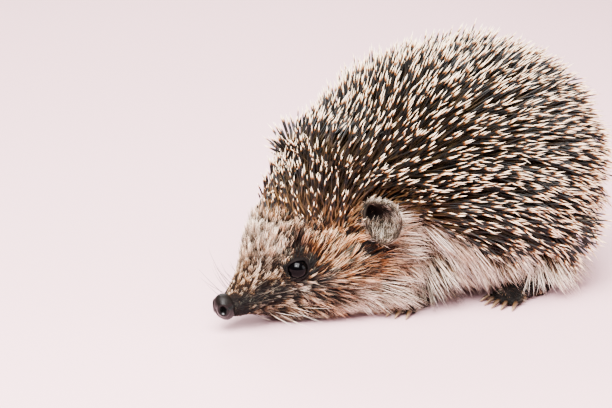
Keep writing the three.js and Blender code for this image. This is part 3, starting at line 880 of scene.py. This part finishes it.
def head_length(points):
    """How long the hair is on the head: shortest on the nose and the mask, longer on top and below."""
    face = in_head(points)
    back, up = face[:, 0], face[:, 2]
    length = np.interp(back, (2, 8, 20, 30, 42, 55), (1.1, 2.1, 4, 7.5, 11.5, 13))
    length *= 1 + 0.6 * step_up(up - 0.35 * back, 1, 6) * step_up(back, 6, 14)
    length *= 1 + (0.9 - 0.4 * step_up(back, 25, 45)) * (1 - step_up(up, -9, -5)) * step_up(back, 4, 12)
    length *= 0.4 + 0.6 * step_up(spine_edge(points) - points[:, 2], 0, 8)
    on_mask = step_up(up, mouth_height, mouth_height + 1) * (1 - step_up(up, 2, 6))
    length *= 1 - 0.45 * on_mask * (1 - step_up(back, 18, 26))
    # Hair in front of the eye stops short of it.
    slope = np.where(back < eyes["left"][0] + 1, 0.9, 2.2)
    return np.minimum(length, 1 + slope * np.maximum(eye_gap(points) - eye_bed, 0))


def head_lift(points):
    """How far the hair stands off the head, in degrees: most under the chin."""
    face = in_head(points)
    under = 1 - step_up(face[:, 2], -11, -5)
    top = step_up(face[:, 2] - 0.35 * face[:, 0], 2, 7)
    return 15 + 32 * under + 9 * top


def along_head(low, high):
    """A test for the furry skin between two places behind the nose."""
    def test(points):
        back = in_head(points)[:, 0]
        return furry(points) & (back >= low) & (back < high) & (points[:, 2] > 0.5)
    return test


grow("muzzle_fur", along_head(-5, 20), 0.32, head_length, head_lift, 0.066, 21, "face", gather=0.5)
grow(
    "cheek_fur", along_head(20, 52), 0.42, head_length, head_lift, 0.12, 22, "face",
    astray=0.22, gather=0.6, wisp=7, gap_shade=0.85,
)


def on_leg(points):
    """On the lower legs and the feet, and on the lowest part of the body between them."""
    near = np.full(len(points), False)
    for limb, sizes in limbs.items():
        for name in ("left", "right"):
            foot = sum(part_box(f"{limb}foot_{name}"), Vector()) / 2 / mm
            away = np.hypot(points[:, 0] - foot.x - 4, points[:, 1] - foot.y)
            near |= (away < sizes["shank"] / 2 + 4) & (points[:, 2] < 13)
    return near | (points[:, 2] <= 9.5)


def trunk_length(points):
    """How long the hair is on the body: longest on the flank, shorter on the belly and at the tail."""
    x, y, z = points[:, 0], np.abs(points[:, 1]), points[:, 2]
    side = np.interp(x, (-40, -20, 0, 50, 66, 72), (12, 18, 22, 23, 15, 3))
    return np.where(z < 15, np.minimum(side, 9 + 11 * step_up(y, 24, 34)), side)


def on_trunk(points):
    """On the furry skin behind the head, apart from the legs."""
    return furry(points) & (in_head(points)[:, 0] >= 52) & ~on_leg(points)


def hairy_leg(points):
    """On the legs and the low belly, off the soles and behind the head."""
    return on_leg(points) & (points[:, 2] > 0.6) & (points[:, 0] > -30)


def hairy_ear(points):
    """On the ears, apart from the bare hollow inside their rims."""
    return (by_ear(points) < 1.02) & ((ear_hollow(points) < 0.6) | (by_ear(points) > 0.86))


grow("flank_fur", on_trunk, 0.62, trunk_length, 18, 0.14, 23, "fur", gather=0.7, wisp=6, gap_shade=0.7)
grow("leg_fur", hairy_leg, 0.7, 2.4, 25, 0.13, 24, "bare_skin")
grow("ear_fur", hairy_ear, 0.36, 2.4, 20, 0.04, 25, "ear", astray=0.4, gather=0.3)


def before_ear(points):
    """On the skin just in front of the ears, low down."""
    face = in_head(points)
    return (by_ear(points) < 1.5) & (face[:, 0] < 47.5) & (face[:, 2] > 5) & (face[:, 2] < 15)


def fringe_stream(points):
    """Back and up, across the ear's front rim."""
    return np.tile((1.0, 0, 0.5), (len(points), 1))


grow(
    "ear_fringe", before_ear, 0.5, 7.5, 26, 0.07, 26, "face",
    astray=0.2, gather=0.6, stream=fringe_stream, tint=(0.05, 0.2, 0.8),
)

# ---- Whiskers ----
# Long fine sensing hairs in the same matt hair as the fur, dark on the upper lip and pale under the
# chin, which stand out to the sides and bend back.
whisker_radius, whisker_lengths = 0.085, (9, 20)
whisker_shape = taper_shape(5, ((0, 1), (0.25, 0.9), (0.5, 0.7), (0.75, 0.45), (0.9, 0.25), (1, 0)))


def on_lip(points):
    """On the whisker pads of the upper lip."""
    face = in_head(points)
    return furry(points) & (face[:, 0] > 5) & (face[:, 0] < 17) & (np.abs(face[:, 2] - 0.5) < 3)


def on_chin(points):
    """Below the mouth, on the chin."""
    face = in_head(points)
    return furry(points) & (face[:, 0] > 9) & (face[:, 0] < 26) & (face[:, 2] < mouth_height - 2)


for name, where, ways, count, tint, seed in (
    ("lip_whiskers", on_lip, (-0.05, 0.55), 34, (0.9, 0, 0.2), 31),
    ("chin_whiskers", on_chin, (-0.05, 0.4), 34, (0, 0, 0.9), 32),
):
    roots, normals, rng = scatter(where, 1.2, seed)
    some = rng.permutation(len(roots))[:count]
    roots, normals = roots[some], normals[some]
    count = len(roots)
    outward = np.sign(roots[:, 1:2]) * (0, 1, 0)
    stray = rng.normal(0, 0.22, (count, 3))
    heading = unit(0.5 * normals + outward + np.array((ways[0], 0, ways[1])) + stray)
    length = rng.uniform(*whisker_lengths, count)
    bend = rng.normal(0, 0.05, (count, 3)) + np.array((0.22, 0, -0.02))
    length = trimmed(roots, heading, bend, length)
    plant(
        name, whisker_shape, roots, heading, bend, length, np.full(count, whisker_radius), rng.random(count),
        np.tile(tint, (count, 1)), hair, "face",
    )

# ---- Claws ----
# Five curved claws on each foot, of brown horn that is paler and clearer towards its tip. Horn is
# harder and glossier than the skin round it.
claw_length, claw_radius = 4.6, 0.75
claw_horn, tree = new_material("claw_horn")
along = add(tree, "ShaderNodeAttribute", {"attribute_name": "along"}).outputs["Fac"]
ramp = add(tree, "ShaderNodeValToRGB", {"Fac": along})
fill_ramp(ramp, (0.0, "2a1d15"), (0.6, "5e4833"), (1.0, "a58a68"))
surface = add(
    tree, "ShaderNodeBsdfPrincipled",
    {"Base Color": ramp.outputs["Color"], "Roughness": 0.35, "Specular IOR Level": 0.5},
)
add(tree, "ShaderNodeOutputMaterial", {"Surface": surface.outputs["BSDF"]})
claw_shape = taper_shape(12, ((0, 1), (0.2, 1), (0.4, 0.9), (0.6, 0.72), (0.8, 0.46), (0.93, 0.22), (1, 0)))
count = len(toe_roots)
roots = np.array([tip for tip, _ in toe_roots])
heading = np.array([way for _, way in toe_roots])
plant(
    "claws", claw_shape, roots, heading, np.tile((0, 0, -0.2), (count, 1)), np.full(count, claw_length),
    np.full(count, claw_radius), np.full(count, 0.5), np.zeros((count, 3)), claw_horn, "bare_skin",
)

# ---- Floor, light and camera ----
# A plain matt floor and a plain pale surround. A broad soft light stands above on the left, with a small
# one beside it for the eye's highlight, a weak one at the front and one behind the back.
floor_plane = bmesh.new()
bmesh.ops.create_grid(floor_plane, x_segments=1, y_segments=1, size=3)
floor_mesh = mesh_of(floor_plane, "floor")
pale, tree = new_material("pale_floor")
surface = add(tree, "ShaderNodeBsdfPrincipled", {"Base Color": linear("dab5b9"), "Roughness": 0.8})
add(tree, "ShaderNodeOutputMaterial", {"Surface": surface.outputs["BSDF"]})
floor_mesh.materials.append(pale)
floor = bpy.data.objects.new("floor", floor_mesh)
bpy.context.scene.collection.objects.link(floor)

world = bpy.data.worlds.new("studio")
world.use_nodes = True
world.node_tree.nodes["Background"].inputs["Color"].default_value = linear("f6e0e2")
world.node_tree.nodes["Background"].inputs["Strength"].default_value = 0.56
bpy.context.scene.world = world


def lamp(name, place, target, size, power):
    """A square lamp of that size in metres and power in watts, turned to its target."""
    light = bpy.data.lights.new(name, "AREA")
    light.size, light.energy = size, power
    holder = bpy.data.objects.new(name, light)
    holder.location = place
    holder.rotation_euler = (Vector(target) - Vector(place)).to_track_quat("-Z", "Y").to_euler()
    bpy.context.scene.collection.objects.link(holder)


lamp("key", (-0.42, -0.36, 0.85), (0, 0, 0.04), 0.85, 47)
lamp("glint", (-0.55, -0.36, 0.72), (0, 0, 0.04), 0.14, 5)
lamp("fill", (0.6, -0.7, 0.35), (0, 0, 0.04), 0.6, 5)
lamp("rim", (0.3, 0.7, 0.6), (0, 0, 0.05), 0.5, 8)

camera = bpy.data.cameras.new("camera")
camera.lens, camera.sensor_width = 100, 36
camera.clip_start = 0.05
holder = bpy.data.objects.new("camera", camera)
azimuth, elevation = math.radians(-36), math.radians(17)
holder.location = (-0.3681, -0.44386, 0.20657)
facing = Vector((
    -math.sin(azimuth) * math.cos(elevation), math.cos(azimuth) * math.cos(elevation), -math.sin(elevation),
))
holder.rotation_euler = facing.to_track_quat("-Z", "Y").to_euler()
bpy.context.scene.collection.objects.link(holder)
bpy.context.scene.camera = holder
bpy.context.scene.view_settings.view_transform = "AgX"
bpy.context.scene.view_settings.look = "AgX - Medium High Contrast"
